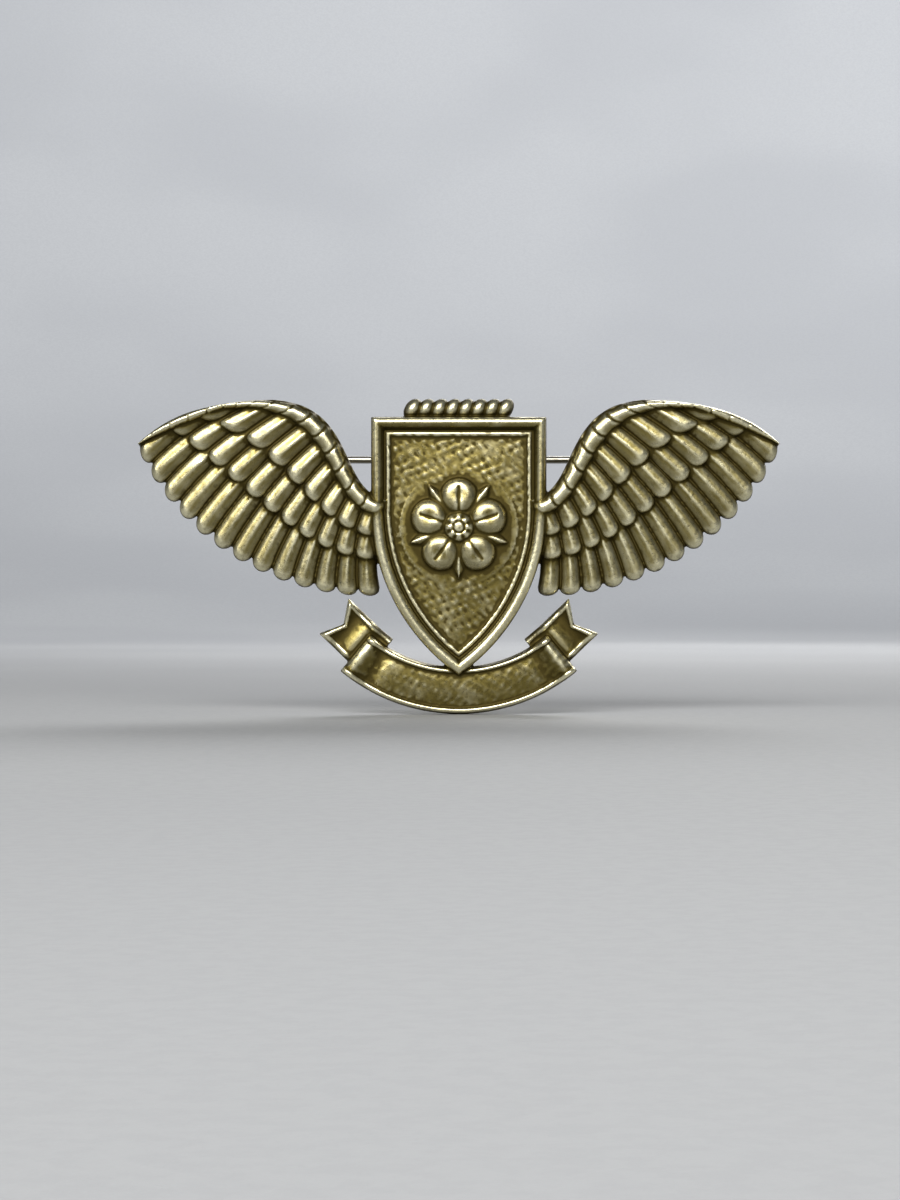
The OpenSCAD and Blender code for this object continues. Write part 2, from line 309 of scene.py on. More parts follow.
def feather(i, count, v_end, tip, floor, crest, length_of):
    """One feather: a dome between its two grooves, with a raised shaft and a rounded tip."""
    s, t = np.meshgrid(np.linspace(-1, 1, 19), np.linspace(0, 1, length_of))
    u = (i + (s + 1) / 2) / count
    v = t * (v_end + tip * scallop(s))
    place = wing_at(u, v)
    long = np.linalg.norm(tip_line((i + 0.5) / count) - root_line((i + 0.5) / count))
    width = np.linalg.norm(wing_at((i + 1) / count, v_end) - wing_at(i / count, v_end)) / 2
    end = np.clip((1 - t) / (width * 0.75 / (long * (v_end + tip))), 0, 1)
    dome = scallop(np.abs(s) ** 1.15) * (1 - (1 - end) ** 2.4) ** 0.5
    shaft = np.exp(-(s / 0.16) ** 2) * np.clip((1 - t) * 2.2, 0, 1)
    lift = 0.1 * s + 0.2 * (t - 0.5)
    depth = floor + (crest - floor) * dome * (1 + lift) + 0.09 * shaft * dome
    add_clay(place[..., 0], place[..., 1], depth, floor - 0.35, (1, -1))


def feather_row(count, v_end, tip, floor, crest, length_of, back):
    """One row: its backing with scalloped ends, and count feathers on it, from the root to v_end."""
    s, t = np.meshgrid(np.linspace(0, 1, count * 12 + 1), np.linspace(0, 1, 8))
    edge = v_end + (tip * 0.82) * scallop(2 * ((s * count) % 1) - 1)
    place = wing_at(s, t * edge)
    add_clay(place[..., 0], place[..., 1], np.full(s.shape, floor), back, (1, -1))
    for i in range(count):
        feather(i, count, v_end, tip, floor, crest, length_of)


middle_floor, upper_floor = plate_t - 0.05, plate_t + row_step - 0.05
feather_row(13, 0.915, 0.085, 0.8, plate_t + 0.2, 110, under)
feather_row(11, 0.57, 0.07, middle_floor, plate_t + row_step + 0.26, 76, middle_floor - 0.7)
feather_row(9, 0.34, 0.06, upper_floor, plate_t + 2 * row_step + 0.34, 50, upper_floor - 0.7)


def wing_rib():
    """The thick front edge: a rounded bar with fine curved cuts across it."""
    share, s = np.meshgrid(np.linspace(0, 1, 330), np.linspace(0, 1, 26), indexing="ij")
    turn = 0.66
    on_top = np.clip(share / turn, 0, 1)
    down = np.clip((share - turn) / (1 - turn), 0, 1)
    taper = 1 - down ** 1.3
    length = np.linalg.norm(tip_line(on_top) - root_line(on_top), axis=-1)
    swell = 0.8 + 0.2 * np.sin(math.pi * np.clip(share / 0.8, 0, 1))
    u = on_top - (1 / 13) * 0.95 * s * taper * np.clip((share - turn * 0.86) / (turn * 0.14), 0, 1)
    v = down + s * 2.5 * swell / length * (1 - down) * taper
    place = wing_at(np.clip(u, 0, 1), np.clip(v, 0, 1))
    path = wing_at(on_top[:, 0], down[:, 0])
    run = np.concatenate([[0], np.cumsum(np.linalg.norm(np.diff(path, axis=0), axis=-1))])[:, None]
    cell = (run / 2.1) % 1
    curve = 0.06 + 0.25 * (2 * s - 1) ** 2
    notch = 0.16 * np.exp(-((cell - curve) / 0.07) ** 2) * (s > 0.12) * (s < 0.96)
    bar = scallop(2 * s - 1) ** 0.85
    round_end = scallop(1 - np.clip(share / 0.035, 0, 1))
    height = (rib_t - plate_t) * (1 - 0.6 * down) * round_end
    depth = np.minimum(plate_t + height * bar - notch * taper * bar, thickest)
    add_clay(place[..., 0], place[..., 1], depth, 0.3, (1, -1))


wing_rib()

# ---- Shield, rosette and rope bar ----
# The middle of the same casting: a shield with a rounded border, a fine line inside it and a sunken
# ground with the mould's rough skin, a five-petal rosette on that, and a short rope bar on top.

field_t, border_t, border_w, rosette_t = 2.1, 3.12, 1.3, 3.49
shield_half, shield_top, shield_turn, shield_point = 9.5 * wide, 4.3 * tall, -5.5 * tall, -23.6 * tall
rosette_z, petal_reach, petal_r = -7.6 * tall, 3.25, 2.1
shield_drop = shield_turn - shield_point
shield_arc = (shield_drop ** 2 + shield_half ** 2) / (2 * shield_half)


def shield_width(z):
    fall = np.clip(shield_turn - z, 0, None)
    return np.sqrt(np.clip(shield_arc ** 2 - fall ** 2, 0, None)) + shield_half - shield_arc


def along_petal(x, z, degrees):
    """Distances out along a petal's middle line and to its side, from the rosette's centre."""
    lean, up = math.radians(degrees), z - rosette_z
    return x * math.sin(lean) + up * math.cos(lean), x * math.cos(lean) - up * math.sin(lean)


def petal(x, z, degrees):
    """Height of one cupped petal, with the groove of its vein."""
    out, side = along_petal(x, z, degrees)
    leaf = np.clip(1 - ((out - petal_reach) ** 2 + side ** 2) / petal_r ** 2, 0, 1) ** 0.55
    cup = 0.28 * np.exp(-((out - petal_reach - 0.35) ** 2 + side ** 2) / 0.9)
    vein = 0.13 * np.exp(-(side / 0.16) ** 2) * (out < petal_reach + 1.2)
    return leaf * (1.15 - cup - vein)


def sepal(x, z, degrees):
    """Height of the pointed leaf that shows between two petals."""
    out, side = along_petal(x, z, degrees)
    half = 1.5 * np.clip((5.5 - out) / 2.6, 0, 1) ** 0.8
    point = np.clip(1 - np.abs(side) / np.maximum(half, 0.01), 0, 1) ** 0.8
    return 0.62 * point * (out > 1.5) * (out < 5.5)


def rosette(x, z):
    """Depth of the rosette's face: petals, the leaves between them and a seeded crown with a ring."""
    r = np.hypot(x, z - rosette_z)
    turn = np.arctan2(x, z - rosette_z)
    crown = 1.35 * scallop(np.clip(r / 1.75, 0, 1)) ** 0.8
    seeds = 0.1 * np.cos(8 * turn) * np.exp(-((r - 1.15) / 0.3) ** 2)
    ring = 0.22 * np.exp(-((r - 0.62) / 0.13) ** 2) * (r < 1.2)
    flower = np.maximum(0, crown + seeds - ring)
    for i in range(5):
        flower = np.maximum(flower, petal(x, z, 72 * i))
        flower = np.maximum(flower, sepal(x, z, 72 * i + 36))
    return np.where(r < 6.4, field_t + 0.1 + flower, 0)


def shield():
    s, z = np.meshgrid(np.linspace(-1, 1, 151), np.linspace(shield_point + 0.02, shield_top, 221))
    x = s * np.maximum(shield_width(z), 0.01)
    below = shield_arc - np.hypot(np.abs(x) + shield_arc - shield_half, z - shield_turn)
    edge = np.where(z < shield_turn, below, shield_half - np.abs(x))
    edge = np.minimum(edge, shield_top - z)
    bead = scallop(np.clip(2 * edge / border_w - 1, -1, 1)) ** 0.7
    line = scallop(np.clip((edge - border_w - 0.55) / 0.28, -1, 1)) * (edge > border_w)
    ground = field_t + 0.14 * np.clip((edge - border_w) / 6, 0, 1)
    ground += cast_skin(x, z) * (edge > border_w + 0.5)
    depth = np.maximum(ground + (border_t - field_t) * bead + 0.22 * line, rosette(x, z))
    add_clay(x, z, np.minimum(depth, rosette_t), under)


def rope_bar():
    """A round core with eight slanting strands laid over it, each strand a rounded lozenge."""
    high = plate_high.z / MM
    middle = high - 1.14 * tall
    lean, across, along = math.radians(35), 0.85 * wide, 1.25 * tall
    ring, turn = np.meshgrid(np.linspace(0.01, 1, 14), np.linspace(0, 2 * math.pi, 49))
    out, up = across * ring * np.cos(turn), along * ring * np.sin(turn)
    for i in range(8):
        x = (i - 3.5) * 1.43 * wide + out * math.cos(lean) + up * math.sin(lean)
        z = middle - out * math.sin(lean) + up * math.cos(lean)
        add_clay(x, np.minimum(z, high), 1.15 + 1.2 * scallop(ring), under)
    core_top = middle + 0.75 * tall
    x, z = np.meshgrid(np.linspace(-5.3, 5.3, 60) * wide, np.linspace(shield_top - 0.5, core_top, 20))
    add_clay(x, z, np.full(x.shape, 1.3), under)


shield()
rope_bar()

# ---- Ribbon ----
# A blank curved ribbon below the shield, with a forked tail tucked behind each end. It belongs to
# the same casting: the band stands forward of the tails, and its two edges have a fine raised line.

small = min(wide, tall)
ribbon_r, ribbon_h, ribbon_half, ribbon_t = 20 * small, 5.1 * small, math.radians(40), 2.7
ribbon_z = plate_low.z / MM + ribbon_r


def ribbon_band():
    lean, share = np.meshgrid(np.linspace(-ribbon_half, ribbon_half, 240), np.linspace(0, 1, 45))
    r = ribbon_r - ribbon_h * share
    rim = np.minimum(share, 1 - share) * ribbon_h
    lip = 0.3 * scallop(np.clip((rim - 0.42) / 0.26, -1, 1))
    fall = scallop(np.clip(1 - rim / 0.35, 0, 1))
    near_end = np.clip((ribbon_half - np.abs(lean)) * ribbon_r, 0, None)
    roll = 0.38 * np.exp(-((near_end - 1.0) / 0.75) ** 2) - 0.3 * np.exp(-((near_end - 3.1) / 1.0) ** 2)
    rough = 0.6 * cast_skin(r * np.sin(lean), r * np.cos(lean)) * (rim > 0.7)
    crown = 0.16 * np.sin(math.pi * share) + rough
    drape = scallop(np.clip(1 - near_end / 0.4, 0, 1))
    depth = (1.75 + crown + lip + roll * 0.9) * (0.7 + 0.3 * fall) * (0.72 + 0.28 * drape) + 0.35
    depth = np.minimum(depth, ribbon_t)
    add_clay(r * np.sin(lean), ribbon_z - r * np.cos(lean), depth, under)


def ribbon_tail(side):
    """One forked tail: two folds that fan out, drawn on the ribbon's own slope at that end."""
    out, up = np.meshgrid(np.linspace(-2.2, 4.4, 70), np.linspace(0, 1, 50))
    notch = 1.4 * (1 - np.abs(2 * up - 1))
    across = np.where(out > 0, out * (4.4 - notch) / 4.4, out)
    lift = (1.3 + 0.3 * np.clip(out, 0, 4.4) / 4.4) + up * 5.0
    depth = 1.25 + 0.22 * np.sin(across * 1.9 + 0.4) + 0.1 * np.sin(up * math.pi)
    rim = np.minimum(np.minimum(up, 1 - up) * 5.0, (4.4 - out) * 0.9)
    depth += 0.16 * scallop(np.clip((rim - 0.45) / 0.25, -1, 1))
    depth -= 0.3 * np.clip(1 - rim / 0.22, 0, 1)
    lean = side * ribbon_half
    x = side * across * small
    z = (lift - ribbon_r / small) * small
    add_clay(x * math.cos(lean) - z * math.sin(lean),
             ribbon_z + x * math.sin(lean) + z * math.cos(lean), depth, under)


ribbon_band()
ribbon_tail(1)
ribbon_tail(-1)

# ---- Back of the plate and the finished casting ----
# All of that is one piece of metal, poured into a mould, so the blocks are run together, their
# joints softened as a casting's are, and the back is cut flat. A small raised blank stands on the
# back, behind the shield.

voxel, most_faces, crease_angle = 0.115, 190000, 30
near_rounds, wide_rounds, near_full, wide_full = 8, 36, 0.1, 0.28
blank_half, blank_low, blank_top, blank_ease = 4.5 * small, -12.5 * tall, -8.5 * tall, 0.25
# Fixed values for the flat back, which keep its patina, painted shade and painted highlight faint.
plain_back = {"hollow": 0.02, "deep": 0.02, "shelter": 0.1}

points = np.concatenate(clay_points)
faces = np.concatenate(clay_faces)
clay = bpy.data.meshes.new("clay")
clay.from_pydata(points.tolist(), [], faces.tolist())
clay_piece = bpy.data.objects.new("clay", clay)
bpy.context.scene.collection.objects.link(clay_piece)
run_together = clay_piece.modifiers.new("run_together", "REMESH")
run_together.mode = "VOXEL"
run_together.voxel_size = voxel


def evaluated(piece, name):
    """The piece's mesh with its modifiers applied."""
    graph = bpy.context.evaluated_depsgraph_get()
    graph.update()
    mesh = bpy.data.meshes.new_from_object(piece.evaluated_get(graph), depsgraph=graph)
    mesh.name = name
    return mesh


def positions(mesh):
    co = np.empty(len(mesh.vertices) * 3, np.float32)
    mesh.vertices.foreach_get("co", co)
    return co.reshape(-1, 3).astype(float)


def normals(mesh):
    out = np.empty(len(mesh.vertices) * 3, np.float32)
    mesh.vertex_normals.foreach_get("vector", out)
    return out.reshape(-1, 3).astype(float)


def settle(co, edges, rounds, share=0.5):
    """co after each point has moved towards the middle of its neighbours, round after round."""
    count = np.bincount(edges.ravel(), minlength=len(co)).clip(1)[:, None]
    for _ in range(rounds):
        total = np.zeros_like(co)
        for axis in range(3):
            total[:, axis] = (np.bincount(edges[:, 0], co[edges[:, 1], axis], len(co))
                              + np.bincount(edges[:, 1], co[edges[:, 0], axis], len(co)))
        co = co + share * (total / count - co)
    return co


dense = evaluated(clay_piece, "dense")
co, way = positions(dense), normals(dense)
edges = np.empty(len(dense.edges) * 2, np.int32)
dense.edges.foreach_get("vertices", edges)
edges = edges.reshape(-1, 2)
# Hollowness at a near and a wide scale: the material darkens hollows with patina and painted shade, and
# lightens convex tops with wear and a painted highlight.
near = settle(co, edges, near_rounds)
wide_view = settle(near, edges, wide_rounds)
hollow_near = ((near - co) * way).sum(1)
hollow_wide = ((wide_view - co) * way).sum(1)
softened = settle(co, edges, 1, 0.35)
dense.vertices.foreach_set("co", softened.astype(np.float32).ravel())
bpy.data.objects.remove(clay_piece)

thin = bpy.data.objects.new("thin", dense)
bpy.context.scene.collection.objects.link(thin)
thinning = thin.modifiers.new("thin_out", "DECIMATE")
thinning.ratio = min(1.0, most_faces / (2 * len(dense.polygons)))
casting = evaluated(thin, "badge_plate_face")
bpy.data.objects.remove(thin)

form = bmesh.new()
form.from_mesh(casting)
everything = form.verts[:] + form.edges[:] + form.faces[:]
bmesh.ops.bisect_plane(form, geom=everything, dist=0.0001, plane_co=(0, 0, 0), plane_no=(0, 1, 0),
                       clear_outer=True)
open_rim = [e for e in form.edges if e.is_boundary]
bmesh.ops.triangle_fill(form, edges=open_rim, use_beauty=True, normal=(0, 1, 0))
bmesh.ops.recalc_face_normals(form, faces=form.faces)

x, z = np.meshgrid(np.linspace(-blank_half, blank_half, 46), np.linspace(blank_low, blank_top, 22))
blank_edge = np.minimum(blank_half - np.abs(x), np.minimum(z - blank_low, blank_top - z))
blank_rise = (plate_high.y / MM - 0.01) * scallop(np.clip(1 - blank_edge / blank_ease, 0, 1))
blank_points, blank_faces = block(x, z, -blank_rise, 0.3)
blank_corners = [form.verts.new(p) for p in blank_points]
blank = [form.faces.new([blank_corners[n] for n in f]) for f in blank_faces]
bmesh.ops.recalc_face_normals(form, faces=blank)
form.to_mesh(casting)
form.free()
final = positions(casting)

tree = KDTree(len(co))
for index, point in enumerate(softened):
    tree.insert(point, index)
tree.balance()
nearest = np.array([tree.find(p)[1] for p in final])


def store(mesh, name, values):
    """Keeps one number per point of the mesh, for its material to read."""
    layer = mesh.attributes.new(name, "FLOAT", "POINT")
    layer.data.foreach_set("value", np.ascontiguousarray(values, np.float32))


cell, low_x, low_z = 0.3, plate_low.x / MM - 1, plate_low.z / MM - 1


def cells(co):
    """Which cell of the depth grid each point lies in."""
    return ((co[:, 0] - low_x) / cell).astype(int), ((co[:, 2] - low_z) / cell).astype(int)


def blurred(grid):
    return (2 * grid + sum(np.roll(grid, step, axis) for axis in (0, 1) for step in (1, -1))) / 6


# shelter: how far each point lies below the blurred depth of the face around it. From it the material
# paints shade into low ground and a highlight onto raised ground.
face_depth = np.zeros((int(72 * wide / cell), int(38 * tall / cell)))
np.maximum.at(face_depth, cells(co), -co[:, 1])
metal_here = (face_depth > 0).astype(float)
for _ in range(24):
    face_depth, metal_here = blurred(face_depth), blurred(metal_here)
shelter = (face_depth / np.maximum(metal_here, 0.001))[cells(final)] + final[:, 1]
measured = {"hollow": hollow_near[nearest] / near_full, "deep": hollow_wide[nearest] / wide_full,
            "shelter": shelter}
for name, values in measured.items():
    store(casting, name, np.where(final[:, 1] > -0.3, plain_back[name], np.clip(values, -1, 1)))
casting.transform(Matrix.Scale(MM, 4))
casting.set_sharp_from_angle(angle=math.radians(crease_angle))
ends = np.empty(len(casting.edges) * 2, np.int32)
casting.edges.foreach_get("vertices", ends)
crease = np.empty(len(casting.edges), bool)
casting.attributes["sharp_edge"].data.foreach_get("value", crease)
crease &= (final[:, 1][ends.reshape(-1, 2)] > -0.25).all(axis=1)
casting.attributes["sharp_edge"].data.foreach_set("value", crease)
casting.polygons.foreach_set("use_smooth", [True] * len(casting.polygons))
plate = bpy.data.objects.new("badge_plate_face", casting)
bpy.context.scene.collection.objects.link(plate)


def gilt_brass():
    """Old gilt brass: pale where it stands proud, from real polish and a painted highlight, and dark olive
    brown in the recesses, from real patina and painted shade.
    """
    paint = Paint("gilt_brass")
    hollow, deep, shelter = (paint.attribute(name) for name in ("hollow", "deep", "shelter"))
    patches = paint.noise(90, 4, 0.55)
    grain = paint.noise(2600, 5, 0.65)
    pits = paint.noise(1100, 3, 0.5)
    rub = paint.noise(420, 4, 0.55)
    tint = paint.blend(paint.ramp(patches, 0.3, 0.7), (0.2, 0.16, 0.045), (0.3, 0.245, 0.08))
    # proud lightens convex tops, ground raised above its surroundings and random rubbed patches towards
    # pale gold: partly real rubbed wear, partly a painted highlight.
    proud = paint.add(paint.ramp(hollow, 0.0, -0.27), paint.ramp(shelter, -0.08, -0.5, 0, 0.6))
    proud = paint.add(proud, paint.ramp(rub, 0.45, 0.72, 0, 0.22))
    bright = paint.blend(proud, tint, (0.94, 0.88, 0.59))
    # The dark olive brown mix darkens creases, hollows and ground lying below its surroundings: partly real
    # patina, partly painted shade.
    patina_and_shade = paint.add(paint.ramp(hollow, -0.04, 0.26), paint.ramp(deep, -0.05, 0.45, 0, 0.9))
    patina_and_shade = paint.add(patina_and_shade, paint.ramp(shelter, -0.2, 0.8, 0, 0.75))
    patina_and_shade = paint.add(patina_and_shade, paint.ramp(pits, 0.56, 0.7, 0, 0.22))
    patina_and_shade = paint.ramp(patina_and_shade, 0.0, 0.72)
    colour = paint.blend(patina_and_shade, bright, (0.06, 0.044, 0.008))
    rough = paint.add(paint.ramp(grain, 0.3, 0.7, 0.25, 0.38), paint.ramp(patina_and_shade, 0, 1, 0, 0.25))
    metal = paint.ramp(patina_and_shade, 0.4, 1.0, 1.0, 0.85)
    skin = paint.bump(pits, 0.00006, 0.35, paint.bump(grain, 0.00003, 0.4))
    return paint.finish(base_color=colour, metallic=metal, roughness=rough, normal=skin)


casting.materials.clear()
casting.materials.append(gilt_brass())
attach(plate, "badge")
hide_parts("badge_plate")
bpy.data.meshes.remove(dense)
bpy.data.meshes.remove(clay)

# ---- Solder ----
# Soft solder holds both feet of the brooch fitting to the back of the plate. It ran out round each
# foot in a thin uneven fillet and set dull grey, with a little brown flux left in it.

joint_at = {j["name"]: Vector(j["pos_m"]) / MM for j in frame["record"]["behaviour"]["joints"]}
hinge_axis, roller_axis = joint_at["pin_hinge"], joint_at["roller_turn"]
fillet_reach, fillet_high, fillet_under = 0.55, 0.32, 0.08


def dull_solder():
    paint = Paint("solder")
    flow = paint.noise(520, 4, 0.6, twist=0.8)
    flux = paint.noise(210, 5, 0.65)
    grey = paint.blend(paint.ramp(flow, 0.3, 0.7), (0.15, 0.15, 0.145), (0.3, 0.3, 0.285))
    stain = paint.ramp(flux, 0.52, 0.68, 0, 0.85)
    rough = paint.add(paint.ramp(flow, 0.3, 0.7, 0.32, 0.5), paint.ramp(flux, 0.5, 0.7, 0, 0.2))
    return paint.finish(base_color=paint.blend(stain, grey, (0.07, 0.045, 0.018)), roughness=rough,
                        metallic=paint.ramp(stain, 0.2, 0.8, 1.0, 0.2),
                        normal=paint.bump(flow, 0.00012, 0.6))


def round_the_foot(low, high):
    """Stops on the way round a foot: x, z and the way out, ten at each corner and 21 on each side."""
    x0, x1 = low.x + fillet_reach, high.x - fillet_reach
    z0, z1 = low.z + fillet_reach, high.z - fillet_reach
    corners = [(x1, z1, 0), (x0, z1, 90), (x0, z0, 180), (x1, z0, 270)]
    stations = []
    for index, (x, z, start) in enumerate(corners):
        stations += [(x, z, math.radians(start + 90 * i / 9)) for i in range(10)]
        next_x, next_z, _ = corners[(index + 1) % 4]
        for step in (i / 22 for i in range(1, 22)):
            stations.append((x + (next_x - x) * step, z + (next_z - z) * step, math.radians(start + 90)))
    return stations


def fillet_section(swing):
    """The fillet's outline at one stop, reach and height, uneven as solder sets."""
    wave = 0.5 + 0.22 * math.sin(3 * swing + 1) + 0.16 * math.sin(7 * swing)
    wave += 0.1 * math.sin(17 * swing + 2)
    out, up = fillet_reach * (0.7 + 0.29 * wave), fillet_high * (0.78 + 0.2 * wave)
    return [(-fillet_under, 0.0), (out, 0.0), (out * 0.93, 0.045), (out * 0.62, up * 0.3),
            (out * 0.3, up * 0.62), (out * 0.1, up * 0.93), (0.0, up), (-fillet_under, up)]


def solder_fillet(name, node, finish):
    low, high = (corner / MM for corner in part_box(node))
    stations = round_the_foot(low, high)
    points, faces = [], []
    for i, (x, z, way) in enumerate(stations):
        section = fillet_section(2 * math.pi * i / len(stations))
        for reach, y in section:
            points.append((x + reach * math.cos(way), y, z + reach * math.sin(way)))
        for k in range(len(section)):
            a, b = i * len(section), (i + 1) % len(stations) * len(section)
            after = (k + 1) % len(section)
            faces.append((a + k, a + after, b + after, b + k))
    piece = mesh_piece(name, points, faces)
    piece.data.materials.append(finish)
    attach(piece, "badge")
    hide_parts(node)


solder = dull_solder()
solder_fillet("hinge_solder_fillet", "hinge_solder", solder)
solder_fillet("catch_solder_fillet", "catch_solder", solder)

# ---- Hinge base ----
# Stamped from sheet brass: a flat foot soldered to the plate, two ears for the rivet and an end
# wall that stops the open pin. Tumbling has eased its edges and handling has dulled it.


def fitting_brass():
    """Plain sheet brass, brushed along its length, tarnished in patches."""
    paint = Paint("fitting_brass")
    brush = paint.noise(900, 3, 0.6, (0.12, 1, 1))
    tarnish = paint.noise(330, 5, 0.62)
    speck = paint.noise(1500, 2, 0.5)
    brass = paint.blend(paint.ramp(brush, 0.35, 0.65), (0.35, 0.265, 0.085), (0.48, 0.38, 0.145))
    stain = paint.ramp(tarnish, 0.44, 0.66, 0, 0.75)
    rough = paint.add(paint.ramp(brush, 0.35, 0.65, 0.26, 0.38), paint.ramp(tarnish, 0.45, 0.7, 0, 0.2))
    return paint.finish(base_color=paint.blend(stain, brass, (0.13, 0.085, 0.03)), roughness=rough,
                        metallic=paint.ramp(stain, 0.3, 0.7, 1.0, 0.75),
                        normal=paint.bump(speck, 0.00003, 0.5, paint.bump(brush, 0.00003, 0.4)))


def eased(name, node, width, finish, body):
    """A stamped piece: the solid of the CAD node with its sharp edges eased by width."""
    form = bmesh.new()
    form.from_mesh(frame["nodes"][node].data)
    bmesh.ops.remove_doubles(form, verts=form.verts, dist=0.002 * MM)
    bmesh.ops.dissolve_limit(form, angle_limit=math.radians(1), verts=form.verts, edges=form.edges)
    sharp = [e for e in form.edges if e.is_manifold and e.calc_face_angle() > math.radians(40)]
    bmesh.ops.bevel(form, geom=sharp, offset=width * MM, segments=3, profile=0.5, affect="EDGES",
                    clamp_overlap=True)
    bmesh.ops.triangulate(form, faces=[f for f in form.faces if len(f.verts) > 4])
    mesh = bpy.data.meshes.new(name)
    form.to_mesh(mesh)
    form.free()
    mesh.polygons.foreach_set("use_smooth", [True] * len(mesh.polygons))
    mesh.materials.clear()
    mesh.materials.append(finish)
    piece = bpy.data.objects.new(name, mesh)
    bpy.context.scene.collection.objects.link(piece)
    weigh = piece.modifiers.new("flat_faces_stay_flat", "WEIGHTED_NORMAL")
    weigh.weight = 80
    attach(piece, body)
    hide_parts(node)


stamped = fitting_brass()
eased("hinge_base_stamping", "hinge_base", 0.07, stamped, "badge")

# ---- Hinge rivet ----
# A short brass pin through both ears, its ends spread with a punch into low round heads. The punch
# left each head slightly flat in the middle.


def lathe(profile, steps=48):
    """Points and faces of a closed turning about Z from (radius, height) pairs, the ends on the axis."""
    points, faces = [(0, 0, profile[0][1])], []
    inner = profile[1:-1]
    for ring, (r, h) in enumerate(inner):
        for i in range(steps):
            lean = 2 * math.pi * i / steps
            points.append((r * math.cos(lean), r * math.sin(lean), h))
            here, after = 1 + ring * steps + i, 1 + ring * steps + (i + 1) % steps
            faces.append((0, here, after) if ring == 0 else (here - steps, here, after, after - steps))
    points.append((0, 0, profile[-1][1]))
    last = 1 + (len(inner) - 1) * steps
    faces += [(last + i, len(points) - 1, last + (i + 1) % steps) for i in range(steps)]
    return points, faces


def rivet_brass():
    paint = Paint("rivet_brass")
    blow = paint.noise(1300, 3, 0.5)
    stain = paint.ramp(paint.noise(700, 4, 0.6), 0.45, 0.7, 0, 0.6)
    brass = paint.blend(paint.ramp(blow, 0.3, 0.7), (0.4, 0.31, 0.11), (0.56, 0.46, 0.2))
    return paint.finish(base_color=paint.blend(stain, brass, (0.1, 0.065, 0.02)), metallic=0.96,
                        roughness=paint.ramp(blow, 0.3, 0.7, 0.24, 0.42),
                        normal=paint.bump(blow, 0.00006, 0.6))


def on_axis(points, axis):
    """Points moved to stand round an axis along Z."""
    return [(x + axis.x, y + axis.y, z) for x, y, z in points]


rivet_low, rivet_high = (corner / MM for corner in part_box("hinge_rivet"))
head_r, head_high, head_edge, shank_r = (rivet_high.x - rivet_low.x) / 2, 0.4, 0.06, 0.45
head_under, head_flat = rivet_high.z - head_high, rivet_high.z - 0.03
upper = [(shank_r, head_under), (head_r - 0.04, head_under)]
for a in (math.radians(a) for a in (0, 18, 36, 52, 66)):
    dome_z = head_under + head_edge + (head_high - head_edge) * math.sin(a)
    upper.append((head_r * math.cos(a), dome_z))
upper += [(head_r * 0.2, head_flat), (0, head_flat)]
rivet_points, rivet_faces = lathe([(r, -h) for r, h in reversed(upper)] + upper)
rivet = mesh_piece("hinge_rivet_turned", on_axis(rivet_points, hinge_axis), rivet_faces)
rivet.data.materials.append(rivet_brass())
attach(rivet, "badge")
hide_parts("hinge_rivet")

# ---- Pin ----
# One length of hard drawn wire. Its end is curled round the rivet into an eye, the shank runs
# straight to the catch, is ground a little thinner there, and ends in a sharp point.

pin_low, pin_high = (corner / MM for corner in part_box("pin_stem"))
wire_r, thin_r, eye_out = 0.4, 0.35, hinge_axis.x - pin_low.x
eye_r = eye_out - wire_r
pin_end = pin_high.x - hinge_axis.x
point_length = 7.55
thin_start = pin_end - point_length


def wire_grey():
    """Hard wire, dull grey, with the die's fine lines along it and brown specks."""
    paint = Paint("pin_wire")
    draw = paint.noise(1600, 3, 0.55, (0.04, 1, 1))
    speck = paint.noise(620, 4, 0.6)
    grey = paint.blend(paint.ramp(draw, 0.35, 0.65), (0.3, 0.285, 0.24), (0.46, 0.44, 0.38))
    stain = paint.ramp(speck, 0.55, 0.7, 0, 0.6)
    return paint.finish(base_color=paint.blend(stain, grey, (0.12, 0.08, 0.04)), metallic=0.97,
                        roughness=paint.ramp(draw, 0.3, 0.7, 0.22, 0.38),
                        normal=paint.bump(draw, 0.00002, 0.5))


def tube(path, radii, sides=20):
    """Points and faces of a round wire of changing radius along a path in one plane."""
    points, faces = [], []
    for i, (x, y) in enumerate(path):
        before, after = path[max(i - 1, 0)], path[min(i + 1, len(path) - 1)]
        run = Vector((after[0] - before[0], after[1] - before[1])).normalized()
        for k in range(sides):
            lean = 2 * math.pi * k / sides
            out, up = radii[i] * math.cos(lean), radii[i] * math.sin(lean)
            points.append((x - run.y * out, y + run.x * out, up))
            if i:
                here, after_k = i * sides + k, i * sides + (k + 1) % sides
                faces.append((here - sides, here, after_k, after_k - sides))
    faces += [tuple(range(sides)), tuple(range(len(path) * sides - sides, len(path) * sides))]
    return points, faces


curl = [math.radians(-40 - 5 * i) for i in range(56)]
wire_path = [(eye_r * math.cos(a), eye_r * math.sin(a)) for a in curl]
leave, straight_from = np.array(wire_path[-1]), 2.1
heading = np.array([math.sin(curl[-1]), -math.cos(curl[-1])])
bend = [leave, leave + heading * 0.5, np.array([1.35, 0]), np.array([straight_from, 0])]
wire_path += [tuple(cubic(*bend, i / 12)) for i in range(1, 13)]
wire_radii = [wire_r * scale for scale in (0.55, 0.82, 0.95)] + [wire_r] * (len(wire_path) - 3)
for i in range(1, 13):
    wire_path.append((straight_from + (thin_start - straight_from - 0.6) * i / 12, 0))
    wire_radii.append(wire_r)
ground = [(along, thin_r) for along in (0, 1.2, 2.4, 3.6, 4.7)]
ground += [(4.95, 0.348), (5.45, 0.31), (6.15, 0.225), (6.85, 0.125), (7.3, 0.068), (point_length, 0.02)]
wire_path += [(thin_start + along, 0) for along, _ in ground]
wire_radii += [r for _, r in ground]
wire_points, wire_faces = tube(wire_path, wire_radii)
